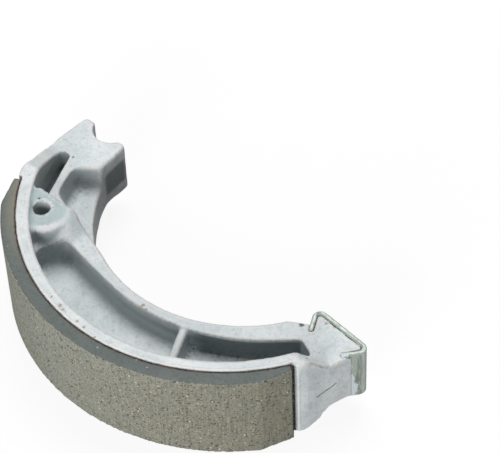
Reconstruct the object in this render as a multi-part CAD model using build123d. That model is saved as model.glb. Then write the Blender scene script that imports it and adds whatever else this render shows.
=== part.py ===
from build123d import *
from math import acos, atan2, cos, degrees, hypot, radians, sin, tan
import os

# Brake shoe for a drum brake. Millimetres and degrees.
# Z is the drum axis, X points at the middle of the lining and Y towards the cam end.
# The lower edge of the rim lies in the plane Z = 0. Face 1 looks up and face 2 looks down.

# Drum and shoe
drum_radius = 60.0
shoe_width = 28.0

# Friction lining and the film that bonds it to the rim
lining_thickness = 3.8
lining_half_angle = 58.0
lining_chamfer_angle = 8.6
lining_end_thickness = 1.8
bond_thickness = 0.2
bond_overhang_angle = 0.15

# Rim of the casting, with a raised lip beyond each end of the lining
rim_thickness = 3.6
rim_half_angle = 62.0
lip_gap_angle = 1.2
lip_height = 1.2
lip_run_out_angle = 4.0
pivot_rim_tail_angle = 78.0

# Web at mid height, inner flange and end blocks
web_thickness = 3.0
body_height = 16.4
pocket_width = 15.1
flange_thickness = 2.7
inner_edge_offset = 6.5
flange_spread_1 = 15.5
flange_spread_2 = 9.9

# Slopes from the rim down to the end blocks, as distances along X
pivot_slope_low = 12.5
pivot_slope_high = 24.5
cam_slope_low = 21.2
cam_slope_high = 26.0
cam_shoulder_depth = 6.7
slope_crest_radius = 2.0
slope_foot_radius = 4.0

# Half-round seat for the anchor pin
seat_radius = 5.25
seat_inset = 9.65
seat_angle = -93.5
horn_radius_outer = 1.3
horn_radius_inner = 1.4

# Steel wear cap at the cam end: a dovetail folded from sheet
cap_thickness = 1.3
cap_bend_radius = 2.1
cap_face_width = 21.4
cap_leg_length = 8.6
cap_leg_angle = 33.0
cap_tilt = 4.8
cap_inset = 7.96
cap_angle = 79.54
cap_proud = 0.2
flash_cover = 4.8
flash_thickness = 0.1
throat_cover = 0.85

# Spring holes and their bosses
hole_radius = 2.25
hole_angle = 48.3
hole_inset = 6.7
boss_radius = 7.7
boss_recess = 1.0
boss_draft = 13.0
boss_crest_bevel = 0.8
boss_flat_distance = 4.9

# Die draft, nose radii of the die cores and cast-in details
core_draft = 3.0
core_nose_radius = 1.4
valley_draft = 15.0
valley_nose_radius = 1.2
valley_ramp_length = 12.0
slot_draft = 1.5
rib_thickness = 2.2
rib_draft = 5.0
rib_recess = 0.4
rib_angle_1 = 24.7
rib_angle_2 = -34.6
column_angle = -33.6
column_radius = 2.7
column_inset = 3.7
pad_angle = 31.0
pad_radius = 2.4
pad_inset = 4.3
mark_inset_pivot = 7.0
mark_inset_cam = 8.1
mark_depth = 0.25
mark_radius = 2.5
mark_margin = 0.4
body_edge_bevel = 0.6

# Sizes that follow
mid_height = shoe_width / 2
bond_outer_radius = drum_radius - lining_thickness
rim_outer_radius = bond_outer_radius - bond_thickness
rim_inner_radius = rim_outer_radius - rim_thickness
body_bottom = mid_height - body_height / 2
body_top = mid_height + body_height / 2
core_depth = mid_height - web_thickness / 2
flange_outer_middle = rim_inner_radius - pocket_width
inner_edge_middle = flange_outer_middle - flange_thickness
lip_radius = rim_outer_radius + lip_height
hole_circle = rim_outer_radius - hole_inset
clear = 12.0


def at(radius, angle):
    """Point at a radius and angle about the drum axis."""
    return (radius * cos(radians(angle)), radius * sin(radians(angle)))


def inset(depth, angle):
    """Point at a depth inside the rim's outer radius."""
    return at(rim_outer_radius - depth, angle)


def on_arc(middle, spread, angle):
    """Point on an arc that crosses X at middle, about a centre that lies spread behind the drum axis."""
    return (-spread + (middle + spread) * cos(radians(angle)), (middle + spread) * sin(radians(angle)))


def tangent(middle, spread, point, turn):
    """Angle where a line from a point touches such an arc, on the side that turn gives."""
    x = point[0] + spread
    return degrees(atan2(point[1], x) + turn * acos((middle + spread) / hypot(x, point[1])))


def sector(inner, outer, start, end):
    """Part of a ring between two angles."""
    middle = (start + end) / 2
    return make_face(
        [
            ThreePointArc(at(outer, start), at(outer, middle), at(outer, end)),
            Line(at(outer, end), at(inner, end)),
            ThreePointArc(at(inner, end), at(inner, middle), at(inner, start)),
            Line(at(inner, start), at(outer, start)),
        ]
    )


def rounded(face, corners):
    """Face with the vertices nearest to the given points rounded, each by its own radius."""
    for point, radius in corners:
        nearest = face.vertices().sort_by_distance((point[0], point[1], 0))[0]
        face = fillet(nearest, radius)
    return face


def upper(solid):
    """The same form on face 1: face 2's forms are made first, standing on Z = 0."""
    return mirror(solid, about=Plane.XY.offset(mid_height))


def core(face, start, angle, nose):
    """Die core of face 2: a drafted prism from a start height up to the web, with a rounded nose."""
    prism = extrude(Pos(0, 0, start) * face, amount=core_depth - start)
    prism = draft(prism.faces().filter_by(Axis.Z, reverse=True), Plane.XY.offset(start), angle)
    return fillet(prism.faces().sort_by(Axis.Z)[-1].edges(), nose) if nose else prism


def cap_point(inward, along):
    """Point in the cam cap's own frame: inward from its face, and along it from its middle."""
    turn = radians(cap_tilt)
    middle = inset(cap_inset, cap_angle)
    x = middle[0] + inward * cos(turn) + along * sin(turn)
    y = middle[1] - inward * sin(turn) + along * cos(turn)
    return (x, y)


def cap_path(depth, leg):
    """Corners of the cap's section at a depth below its outer surface, with legs of an outer length."""
    half_corner = radians((90 - cap_leg_angle) / 2)
    lean = radians(cap_leg_angle)
    shift = depth / sin(half_corner)
    start = shift * sin(half_corner)
    half = cap_face_width / 2 - shift * cos(half_corner)
    along_leg = leg - depth / tan(half_corner)
    reach = start + along_leg * cos(lean)
    return [
        cap_point(reach, half - along_leg * sin(lean)),
        cap_point(start, half),
        cap_point(start, -half),
        cap_point(reach, -half + along_leg * sin(lean)),
    ]


def make_cap():
    outer = FilletPolyline(*cap_path(0, cap_leg_length), radius=cap_bend_radius)
    inner = FilletPolyline(*cap_path(cap_thickness, cap_leg_length), radius=cap_bend_radius - cap_thickness)
    ends = [Line(outer @ 0, inner @ 0), Line(outer @ 1, inner @ 1)]
    section = make_face([outer, inner] + ends)
    return extrude(Pos(0, 0, body_bottom - cap_proud) * section, amount=body_height + 2 * cap_proud)


def body_outline():
    """Plan of the web, the flange and both end blocks."""
    middle_of_sheet = cap_thickness / 2
    front = cap_path(middle_of_sheet, flash_cover / cos(radians(cap_leg_angle)))
    outer_horn = inset(1.22, -91.8)
    inner_horn = inset(17.1, -90.9)
    flat_start = at(rim_outer_radius, -80.5)
    shoulder = at(rim_outer_radius, rim_half_angle)
    inner_start = on_arc(inner_edge_middle, inner_edge_offset, 56.5)
    inner_end = on_arc(inner_edge_middle, inner_edge_offset, -68.6)
    face = make_face(
        [
            Line(outer_horn, flat_start),
            ThreePointArc(flat_start, at(rim_outer_radius, 0), shoulder),
            Polyline(shoulder, at(lip_radius, rim_half_angle), block_side(), *front, throat(), inner_start),
            ThreePointArc(inner_start, (inner_edge_middle, 0), inner_end),
            Polyline(inner_end, inner_horn, outer_horn),
        ]
    )
    bend = cap_bend_radius - middle_of_sheet
    horns = [(outer_horn, horn_radius_outer), (inner_horn, horn_radius_inner)]
    return rounded(face, [(front[1], bend), (front[2], bend)] + horns)


def block_side():
    """Where the flat side of the cam block ends, just over the cap's outer leg."""
    leg_surface = cap_face_width / 2 - flash_cover * tan(radians(cap_leg_angle))
    return cap_point(flash_cover, leg_surface + flash_thickness)


def throat():
    """Where the inner side of the cam block ends, just over the cap's inner leg."""
    leg_surface = cap_face_width / 2 - flash_cover * tan(radians(cap_leg_angle))
    return cap_point(flash_cover + 1.0, -leg_surface - throat_cover)


def slopes(low, high, side):
    """Side view of one half of the shoe: full height at the rim, and sloping down to the end block."""
    profile = make_face(
        Polyline(
            (low - clear, body_bottom),
            (low, body_bottom),
            (high, 0),
            (drum_radius + clear, 0),
            (drum_radius + clear, shoe_width),
            (high, shoe_width),
            (low, body_top),
            (low - clear, body_top),
            close=True,
        )
    )
    crest = [((high, z), slope_crest_radius) for z in (0, shoe_width)]
    foot = [((low, z), slope_foot_radius) for z in (body_bottom, body_top)]
    profile = rounded(profile, crest + foot)
    return extrude(Plane.XZ * profile, amount=-side * (drum_radius + clear))


def make_rim():
    """Rim ring with its lips, running out into the slopes at both ends."""
    lip_start = lining_half_angle + lip_gap_angle
    lip = at(lip_radius, rim_half_angle)
    side_middle = tuple((a + b) / 2 for a, b in zip(lip, block_side()))
    plan = sector(rim_inner_radius, rim_outer_radius, -pivot_rim_tail_angle, rim_half_angle)
    plan += sector(rim_inner_radius, lip_radius, -rim_half_angle, -lip_start)
    run_out = -rim_half_angle - lip_run_out_angle
    plan += make_face(
        Polyline(
            at(lip_radius, -rim_half_angle),
            at(rim_inner_radius, -rim_half_angle),
            at(rim_inner_radius, run_out),
            at(rim_outer_radius, run_out),
            close=True,
        )
    )
    plan += sector(rim_inner_radius, lip_radius, lip_start, rim_half_angle)
    plan += make_face(
        Polyline(
            lip,
            side_middle,
            (side_middle[0], side_middle[1] - cam_shoulder_depth),
            at(rim_inner_radius - 1.5, rim_half_angle - 3),
            at(rim_outer_radius, rim_half_angle - 3),
            close=True,
        )
    )
    ring = extrude(plan, amount=shoe_width)
    sides = slopes(pivot_slope_low, pivot_slope_high, -1) + slopes(cam_slope_low, cam_slope_high, 1)
    return ring & sides


def long_pocket_1():
    """Face 1: between the flange and the rim, from the pivot-side boss to the cam block."""
    boss_end = at(rim_inner_radius, -37.5)
    cam_end = at(rim_inner_radius, 62.5)
    boss_corner = inset(13.1, -38.3)
    block_corner = inset(10.9, 65.9)
    rim_corner = inset(5.05, 66.2)
    flange = (flange_outer_middle, flange_spread_1)
    flange_cam = on_arc(*flange, tangent(*flange, block_corner, -1))
    flange_turn = on_arc(*flange, tangent(*flange, boss_corner, 1))
    flange_middle = (flange_outer_middle, 0)
    face = make_face(
        [
            ThreePointArc(boss_end, at(rim_inner_radius, 0), cam_end),
            Polyline(cam_end, rim_corner, block_corner, flange_cam),
            ThreePointArc(flange_cam, flange_middle, flange_turn),
            Polyline(flange_turn, boss_corner, boss_end),
        ]
    )
    corners = [(boss_end, 3.2), (boss_corner, 3.2), (rim_corner, 2.0), (block_corner, 2.0)]
    face = rounded(face, corners + [(cam_end, 3.0)])
    return upper(core(face, 0, core_draft, core_nose_radius))


def long_pocket_2():
    """Face 2: between the flange and the rim, from the pivot block to the cam-side boss."""
    boss_end = at(rim_inner_radius, 36.0)
    pivot_end = at(rim_inner_radius, -70.0)
    boss_corner = inset(13.35, 28.7)
    block_corner = inset(10.9, -76.8)
    rim_corner = inset(6.2, -77.2)
    flange = (flange_outer_middle, flange_spread_2)
    flange_pivot = on_arc(*flange, tangent(*flange, block_corner, 1))
    flange_turn = on_arc(*flange, tangent(*flange, boss_corner, -1))
    flange_middle = on_arc(*flange, tangent(*flange, block_corner, 1) / 2)
    face = make_face(
        [
            ThreePointArc(pivot_end, at(rim_inner_radius, 0), boss_end),
            Polyline(boss_end, boss_corner, flange_turn),
            ThreePointArc(flange_turn, flange_middle, flange_pivot),
            Polyline(flange_pivot, block_corner, rim_corner, pivot_end),
        ]
    )
    corners = [(boss_end, 3.0), (boss_corner, 4.0), (block_corner, 3.0), (rim_corner, 3.0)]
    face = rounded(face, corners + [(pivot_end, 10.0)])
    return core(face, 0, core_draft, core_nose_radius)


def slot_1():
    """Face 1: narrow pocket between the rim's tail and the pivot block."""
    wide_end = at(rim_inner_radius, -59.0)
    narrow_end = at(rim_inner_radius, -77.0)
    inner_corner = inset(6.85, -76.5)
    face = make_face(
        [
            ThreePointArc(narrow_end, at(rim_inner_radius, -68.0), wide_end),
            Polyline(wide_end, inset(6.4, -57.0), inner_corner, narrow_end),
        ]
    )
    face = rounded(face, [(narrow_end, 1.1), (inner_corner, 1.1)])
    return upper(core(face, 0, slot_draft, 0))


def slot_2():
    """Face 2: narrow pocket between the rim and the cam block."""
    wide_end = at(rim_inner_radius, 57.0)
    narrow_end = at(rim_inner_radius, 67.0)
    end_corner = inset(4.95, 69.5)
    inner_corner = inset(8.0, 69.0)
    face = make_face(
        [
            ThreePointArc(wide_end, at(rim_inner_radius, 62.0), narrow_end),
            Polyline(narrow_end, end_corner, inner_corner, inset(6.7, 51.0), wide_end),
        ]
    )
    face = rounded(face, [(narrow_end, 1.0), (end_corner, 0.8), (inner_corner, 1.2)])
    return core(face, 0, slot_draft, 0)


def ramp(angle, side):
    """Space above a valley's sloping floor, which rises from the web to the flange's edge at an angle."""
    turn = radians(angle)
    start = at(inner_edge_middle, angle)
    along = (-side * sin(turn), side * cos(turn), 0)
    plane = Plane(origin=(*start, 0), x_dir=along, z_dir=(cos(turn), sin(turn), 0))
    rise = (core_depth - body_bottom) / valley_ramp_length
    face = make_face(
        Polyline(
            (-clear, body_bottom - clear * rise),
            (valley_ramp_length, core_depth),
            (valley_ramp_length, shoe_width),
            (-clear, shoe_width),
            close=True,
        )
    )
    return extrude(plane * face, amount=drum_radius, both=True)


def valley_1():
    """Face 1: low ground inside the ridge that runs from the flange round the boss to the pivot block."""
    start = on_arc(inner_edge_middle, inner_edge_offset, -20.5)
    bends = [inset(9.4, -71.9), inset(8.8, -60.0)]
    face = make_face(Polyline(start, inset(31.0, -36.9), inset(25.4, -84.4), *bends, close=True))
    face = rounded(face, [(bends[0], 3.6), (bends[1], 4.0)])
    hollow = core(face, body_bottom, valley_draft, valley_nose_radius)
    return upper(hollow - ramp(-27.0, -1))


def valley_2():
    """Face 2: the like ground from the flange round the boss to the cam block."""
    start = on_arc(inner_edge_middle, inner_edge_offset, 15.0)
    bends = [inset(16.9, 30.8), inset(12.1, 48.7), inset(9.25, 57.7), inset(10.5, 66.0)]
    open_side = [inset(17.2, 68.5), inset(25.6, 72.8), inset(30.0, 22.6)]
    face = make_face(Polyline(start, *bends, *open_side, close=True))
    face = rounded(face, zip(bends, (8.0, 5.0, 3.6, 3.6)))
    hollow = core(face, body_bottom, valley_draft, valley_nose_radius)
    return hollow - ramp(24.0, 1)


def boss(side):
    """Spring-hole boss of face 2: a drafted disc with a flat side that runs into the rim."""
    height = core_depth - boss_recess
    lean = height * tan(radians(boss_draft))
    foot_radius = boss_radius + lean
    center = at(hole_circle, side * hole_angle)
    place = Pos(*center, boss_recess)
    low = (Align.CENTER, Align.CENTER, Align.MIN)
    disc = Cone(boss_radius, foot_radius, height, align=low)
    disc = place * chamfer(disc.edges().sort_by(Axis.Z)[0], boss_crest_bevel)
    within_rim = Cylinder((rim_inner_radius + rim_outer_radius) / 2, shoe_width, align=low)
    flat = center[0] - boss_flat_distance
    side_view = make_face(
        Polyline(
            (flat, boss_recess),
            (flat - lean, core_depth),
            (drum_radius, core_depth),
            (drum_radius, boss_recess),
            close=True,
        )
    )
    return disc & within_rim & extrude(Plane.XZ * side_view, amount=drum_radius, both=True)


def rib(angle):
    """Thin radial rib of face 2 from the flange to the rim, wider at its foot."""
    foot = rib_thickness / 2 + (core_depth - body_bottom) * tan(radians(rib_draft))
    plane = Plane(
        origin=(*at(flange_outer_middle, angle), 0),
        x_dir=(-sin(radians(angle)), cos(radians(angle)), 0),
        z_dir=(cos(radians(angle)), sin(radians(angle)), 0),
    )
    crest = [(-rib_thickness / 2, body_bottom + rib_recess), (rib_thickness / 2, body_bottom + rib_recess)]
    section = make_face(Polyline(*crest, (foot, mid_height), (-foot, mid_height), close=True))
    section = rounded(section, [(point, rib_thickness * 0.4) for point in crest])
    return extrude(plane * section, amount=pocket_width + rim_thickness / 2)


def column(radius, depth, angle):
    """Round column of face 2 where a pin pushed the casting out of its die."""
    low = (Align.CENTER, Align.CENTER, Align.MIN)
    foot_radius = radius + core_depth * tan(radians(core_draft))
    return Pos(*inset(depth, angle)) * Cone(radius, foot_radius, core_depth, align=low)


def mark(radius, place, height):
    """Shallow round mark of such a pin."""
    low = (Align.CENTER, Align.CENTER, Align.MIN)
    return Pos(*place, height - 1) * Cylinder(radius, mark_depth + 1, align=low)


def make_casting(cap):
    body = extrude(Pos(0, 0, body_bottom) * body_outline(), amount=body_height)
    edges = body.edges().group_by(Axis.Z)
    casting = chamfer(edges[0] + edges[-1], body_edge_bevel) + make_rim()
    for hollow in (long_pocket_1(), long_pocket_2(), slot_1(), slot_2(), valley_1(), valley_2()):
        casting -= hollow
    columns = (column(column_radius, column_inset, column_angle), column(pad_radius, pad_inset, pad_angle))
    for body in (boss(1), upper(boss(-1)), upper(rib(rib_angle_1)), rib(rib_angle_2), *columns):
        casting += body
    low = (Align.CENTER, Align.CENTER, Align.MIN)
    for side in (-1, 1):
        casting -= Pos(*at(hole_circle, side * hole_angle)) * Cylinder(hole_radius, shoe_width, align=low)
    casting -= Pos(*inset(seat_inset, seat_angle)) * Cylinder(seat_radius, shoe_width, align=low)
    casting -= mark(column_radius - mark_margin, inset(column_inset, column_angle), 0)
    casting -= mark(pad_radius - mark_margin, inset(pad_inset, pad_angle), 0)
    casting -= mark(mark_radius, inset(mark_inset_pivot, -81.6), body_bottom)
    casting -= mark(mark_radius, inset(mark_inset_cam, 72.9), body_bottom)
    return casting - cap


def make_lining():
    """Arc of friction material whose ends are ground off on a flat slant."""
    inner = bond_outer_radius
    ramp_angle = lining_half_angle - lining_chamfer_angle
    end_radius = inner + lining_end_thickness
    edges = [ThreePointArc(at(drum_radius, -ramp_angle), at(drum_radius, 0), at(drum_radius, ramp_angle))]
    edges += [ThreePointArc(at(inner, lining_half_angle), at(inner, 0), at(inner, -lining_half_angle))]
    for side in (-1, 1):
        slant_start = at(drum_radius, side * ramp_angle)
        slant_end = at(end_radius, side * lining_half_angle)
        edges += [Polyline(slant_start, slant_end, at(inner, side * lining_half_angle))]
    return extrude(make_face(edges), amount=shoe_width)


def make_bond():
    """Film between lining and rim, squeezed out a little at both ends."""
    reach = lining_half_angle + bond_overhang_angle
    return extrude(sector(rim_outer_radius, bond_outer_radius, -reach, reach), amount=shoe_width)


wear_cap = make_cap()
parts = {
    "shoe_casting": make_casting(wear_cap),
    "friction_lining": make_lining(),
    "bond_layer": make_bond(),
    "cam_wear_cap": wear_cap,
}
os.makedirs("parts", exist_ok=True)
for name, shape in parts.items():
    export_step(shape, f"parts/{name}.step")
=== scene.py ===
import math

import bpy
import numpy as np
from mathutils import Matrix, Vector


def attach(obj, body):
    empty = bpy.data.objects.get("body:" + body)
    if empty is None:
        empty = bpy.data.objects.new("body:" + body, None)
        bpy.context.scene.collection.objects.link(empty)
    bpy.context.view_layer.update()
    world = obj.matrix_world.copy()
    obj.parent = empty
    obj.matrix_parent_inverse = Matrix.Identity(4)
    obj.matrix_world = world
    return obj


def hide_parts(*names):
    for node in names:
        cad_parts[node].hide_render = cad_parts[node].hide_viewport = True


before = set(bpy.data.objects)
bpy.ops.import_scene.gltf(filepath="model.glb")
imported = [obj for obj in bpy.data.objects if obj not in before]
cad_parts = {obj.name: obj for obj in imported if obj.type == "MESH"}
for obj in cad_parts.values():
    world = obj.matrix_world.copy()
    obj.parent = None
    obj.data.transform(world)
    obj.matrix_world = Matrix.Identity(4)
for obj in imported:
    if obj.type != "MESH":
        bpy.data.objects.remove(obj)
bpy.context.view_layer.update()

mm = 0.001
print("stage: frame loaded")


skin = {
    "weld": 0.004,                   # mm, under which a solid's points are merged
    "relax": 0.5,                    # share of the way to the neighbours' mean, in each step
    "frequencies": (0.7, 1.4),       # of the waves, shares of the frequency that is asked for
}


def arrayOf(mesh, name, width, kind=np.float32):
    # flat buffer read from a mesh collection, reshaped to rows
    source = {"co": mesh.vertices, "normal": mesh.vertices, "vertices": mesh.edges}[name]
    out = np.empty(len(source) * width, kind)
    source.foreach_get(name, out)
    return out.reshape(-1, width)


def newObject(name, data):
    item = bpy.data.objects.new(name, data)
    bpy.context.scene.collection.objects.link(item)
    return item


def setAttribute(mesh, name, values):
    layer = mesh.attributes.new(name, "FLOAT", "POINT")
    layer.data.foreach_set("value", np.asarray(values, np.float32))


def smoothStep(low, high, x):
    # from 0 at low to 1 at high, also where high is the smaller number
    t = np.clip((x - low) / (high - low), 0, 1)
    return t * t * (3 - 2 * t)


def awayFrom(points, middle):
    # distance in plan of points in metres from a place in mm
    return np.hypot(points[:, 0] / mm - middle[0], points[:, 1] / mm - middle[1])


def awayFromLine(points, start, run):
    # distance in plan from the nearest point of each straight piece that goes from start along run
    away = points[:, None, :] - start
    share = np.clip((away * run).sum(-1) / (run ** 2).sum(-1), 0, 1)
    return np.linalg.norm(away - share[..., None] * run, axis=-1).min(1)


def neighbourMean(values, edges):
    # mean of the values at the far ends of each vertex's edges
    first, second = edges[:, 0], edges[:, 1]
    count = np.bincount(first, minlength=len(values)) + np.bincount(second, minlength=len(values))
    columns = [
        np.bincount(first, column[second], len(values)) + np.bincount(second, column[first], len(values))
        for column in values.T
    ]
    return np.stack(columns, 1) / np.maximum(count, 1)[:, None]


def relaxed(points, edges, share, steps):
    # each step moves a vertex towards the mean of its neighbours, by its own share
    for step in range(steps):
        points = points + skin["relax"] * share[:, None] * (neighbourMean(points, edges) - points)
    return points


def bulge(points, normals, edges, steps):
    # height in mm of each vertex over the mean of its surroundings: positive on edges, negative in corners
    mean = points
    for step in range(steps):
        mean = neighbourMean(mean, edges)
    return ((points - mean) * normals).sum(1) / mm


def waves(points, length, seed, count=12):
    # sum of plane sine waves with random directions and phases, about one in height
    draw = np.random.default_rng(seed)
    direction = draw.normal(size=(count, 3))
    spread = 2 * math.pi / (length * mm) / np.linalg.norm(direction, axis=1)
    direction *= (spread * draw.uniform(*skin["frequencies"], count))[:, None]
    phase = draw.uniform(0, 2 * math.pi, count)
    return np.sin(points @ direction.T + phase).sum(1) / math.sqrt(count)


def roundedCopy(node, name, values):
    # merged copy of a solid, remeshed finely and relaxed, so that every edge is rounded as on the real piece
    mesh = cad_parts[node].data.copy()
    mesh.materials.clear()
    item = newObject(name, mesh)
    weld = item.modifiers.new("weld", "WELD")
    weld.merge_threshold = skin["weld"] * mm
    remesh = item.modifiers.new("remesh", "REMESH")
    remesh.mode = "VOXEL"
    remesh.voxel_size = values["voxel"] * mm
    remesh.use_smooth_shade = True
    relax = item.modifiers.new("relax", "SMOOTH")
    relax.factor = skin["relax"]
    relax.iterations = values["smoothing"]
    graph = bpy.context.evaluated_depsgraph_get()
    finished = bpy.data.meshes.new_from_object(item.evaluated_get(graph))
    item.modifiers.clear()
    item.data = finished
    finished.name = name
    return item


def sharpened(points, radius, height, side, amount, reach=0.45 * mm):
    # moves the skin near a round edge out to its corner, by an amount that fades like a bell with distance
    # from it, and never past the edge's own radius and height
    flat = np.hypot(points[:, 0], points[:, 1])
    level = np.abs(points[:, 2] - height)
    shift = amount * np.exp(-((flat - radius) ** 2 + (level - height) ** 2) / reach ** 2)
    grown = side * np.minimum(side * (flat + side * shift), side * radius)
    grown = np.where(side * (flat - radius) < 0, grown, flat)
    out = points * np.stack([grown / flat, grown / flat, np.ones_like(flat)], 1)
    out[:, 2] = height + np.sign(points[:, 2] - height) * np.minimum(level + shift, height)
    return out


def placePoints(mesh, points):
    mesh.vertices.foreach_set("co", np.ascontiguousarray(points, np.float32).ravel())
    mesh.update()


def finishPiece(item, material, node):
    item.data.materials.append(material)
    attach(item, "root")
    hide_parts(node)
    print("stage:", item.name, len(item.data.polygons), "faces")


view = {
    "shoeAt": (-5.0507, -15.9616),   # drum axis on the floor, mm from the point the camera looks at
    "shoeTurn": 226.1,               # degrees from the picture's right to the shoe's X
    "elevation": 48.6199,            # degrees
    "distance": 659.28,              # mm
    "roll": -2.3602,                 # degrees
    "lens": 173.164,                 # mm
    "sensor": 36,                    # mm wide
    "clipStart": 0.01,               # metres
}


def addCamera():
    turn = Matrix.Rotation(-math.radians(view["shoeTurn"]), 3, "Z")
    up = math.radians(view["elevation"])
    back = Vector((0, -math.cos(up), math.sin(up)))
    right = Vector((1, 0, 0))
    top = back.cross(right)
    roll = math.radians(view["roll"])
    rolledRight = right * math.cos(roll) + top * math.sin(roll)
    rolledTop = top * math.cos(roll) - right * math.sin(roll)
    place = turn @ (back * view["distance"] - Vector((*view["shoeAt"], 0))) * mm
    axes = [turn @ rolledRight, turn @ rolledTop, turn @ back]
    data = bpy.data.cameras.new("camera")
    data.lens = view["lens"]
    data.sensor_width = view["sensor"]
    data.sensor_fit = "HORIZONTAL"
    data.clip_start = view["clipStart"]
    camera = newObject("camera", data)
    rotation = Matrix([[axis[i] for axis in axes] for i in range(3)])
    camera.matrix_world = Matrix.Translation(place) @ rotation.to_4x4()
    bpy.context.scene.camera = camera


room = {
    "floorReach": 1.6,               # metres from the middle to the floor's edges
    "floorDrop": 0.02,               # mm below the piece
    "floorTones": (0.22, 0.95),      # for the light that reaches the piece, and for what is seen
    "floorGlow": 0.90,               # share of plain white in what is seen
    "softLight": 0.08,
    "overhead": {"at": (0.05, 0.34, 0.75), "size": 0.55, "power": 6.2},    # metres and watts
    "front": {"at": (-0.36, -0.80, 0.30), "size": 0.40, "power": 7.4},
}


def mathNode(tree, operation, a, b=None, clamp=False):
    node = tree.nodes.new("ShaderNodeMath")
    node.operation = operation
    node.use_clamp = clamp
    for socket, value in zip(node.inputs, (a, b)):
        if value is None:
            continue
        if isinstance(value, (int, float)):
            socket.default_value = value
        else:
            tree.links.new(value, socket)
    return node.outputs[0]


def strongest(tree, masks):
    total = masks[0]
    for mask in masks[1:]:
        total = mathNode(tree, "MAXIMUM", total, mask)
    return total


def mixShaders(tree, share, first, second):
    both = tree.nodes.new("ShaderNodeMixShader")
    tree.links.new(share, both.inputs["Fac"])
    tree.links.new(first.outputs[0], both.inputs[1])
    tree.links.new(second.outputs[0], both.inputs[2])
    return both


def floorMaterial():
    # white where the camera or a reflection looks at it, with the object's own soft shadow kept
    material = bpy.data.materials.new("floorWhite")
    material.use_nodes = True
    tree = material.node_tree
    tree.nodes.clear()
    out = tree.nodes.new("ShaderNodeOutputMaterial")
    path = tree.nodes.new("ShaderNodeLightPath")
    plain = tree.nodes.new("ShaderNodeBsdfDiffuse")
    glow = tree.nodes.new("ShaderNodeEmission")
    glow.inputs["Color"].default_value = (1, 1, 1, 1)
    glow.inputs["Strength"].default_value = 1.0
    rays = ("Is Camera Ray", "Is Glossy Ray", "Is Transmission Ray")
    seen = strongest(tree, [path.outputs[ray] for ray in rays])
    tone = tree.nodes.new("ShaderNodeMapRange")
    tone.inputs["To Min"].default_value, tone.inputs["To Max"].default_value = room["floorTones"]
    tree.links.new(seen, tone.inputs["Value"])
    tree.links.new(tone.outputs["Result"], plain.inputs["Color"])
    both = mixShaders(tree, mathNode(tree, "MULTIPLY", seen, room["floorGlow"]), plain, glow)
    tree.links.new(both.outputs[0], out.inputs["Surface"])
    return material


def addFloor():
    # one square that faces up
    reach, low = room["floorReach"], -room["floorDrop"] * mm
    corners = [(-reach, -reach, low), (reach, -reach, low), (reach, reach, low), (-reach, reach, low)]
    mesh = bpy.data.meshes.new("floor")
    mesh.from_pydata(corners, [], [(0, 1, 2, 3)])
    mesh.materials.append(floorMaterial())
    newObject("floor", mesh)


def addLamps():
    # places are in the picture's own axes: right, away and up from the middle of the view
    turn = Matrix.Rotation(-math.radians(view["shoeTurn"]), 3, "Z")
    middle = turn @ (Vector((*view["shoeAt"], 0)) * -mm)
    for name in ("overhead", "front"):
        lamp = room[name]
        data = bpy.data.lights.new(name, "AREA")
        data.shape = "SQUARE"
        data.size = lamp["size"]
        data.energy = lamp["power"]
        item = newObject(name, data)
        place = middle + turn @ Vector(lamp["at"])
        aim = (place - middle).to_track_quat("Z", "Y").to_matrix().to_4x4()
        item.matrix_world = Matrix.Translation(place) @ aim


def addWorld():
    # soft light from all round, and plain white where the camera looks past the floor
    world = bpy.data.worlds.new("room")
    bpy.context.scene.world = world
    world.use_nodes = True
    tree = world.node_tree
    tree.nodes.clear()
    out = tree.nodes.new("ShaderNodeOutputWorld")
    path = tree.nodes.new("ShaderNodeLightPath")
    soft = tree.nodes.new("ShaderNodeBackground")
    soft.inputs["Strength"].default_value = room["softLight"]
    white = tree.nodes.new("ShaderNodeBackground")
    white.inputs["Color"].default_value = (1, 1, 1, 1)
    both = mixShaders(tree, path.outputs["Is Camera Ray"], soft, white)
    tree.links.new(both.outputs[0], out.inputs["Surface"])


addCamera()
addFloor()
addLamps()
addWorld()
bpy.context.scene.view_settings.view_transform = "Standard"
print("stage: camera, floor and lamps")


def startGroup(name, vectors, numbers=()):
    # group with the named inputs and one output, a mask
    group = bpy.data.node_groups.new(name, "ShaderNodeTree")
    for kind, labels in (("NodeSocketVector", vectors), ("NodeSocketFloat", numbers)):
        for label in labels:
            group.interface.new_socket(label, in_out="INPUT", socket_type=kind)
    group.interface.new_socket("Mask", in_out="OUTPUT", socket_type="NodeSocketFloat")
    return group, group.nodes.new("NodeGroupInput"), group.nodes.new("NodeGroupOutput")


def useGroup(tree, group, **values):
    node = tree.nodes.new("ShaderNodeGroup")
    node.node_tree = group
    for label, value in values.items():
        socket = node.inputs[label]
        if isinstance(value, (int, float, tuple)):
            socket.default_value = value
        else:
            tree.links.new(value, socket)
    return node.outputs[0]


def startMaterial(name):
    material = bpy.data.materials.new(name)
    material.use_nodes = True
    tree = material.node_tree
    tree.nodes.clear()
    out = tree.nodes.new("ShaderNodeOutputMaterial")
    shader = tree.nodes.new("ShaderNodeBsdfPrincipled")
    tree.links.new(shader.outputs[0], out.inputs["Surface"])
    return material, tree, shader


def noiseNode(tree, scale, detail, rough, vector):
    node = tree.nodes.new("ShaderNodeTexNoise")
    node.inputs["Scale"].default_value = scale
    node.inputs["Detail"].default_value = detail
    node.inputs["Roughness"].default_value = rough
    tree.links.new(vector, node.inputs["Vector"])
    return node.outputs["Fac"]


def noiseSet(tree, at, table):
    return {name: noiseNode(tree, *values, at) for name, values in table.items()}


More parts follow.
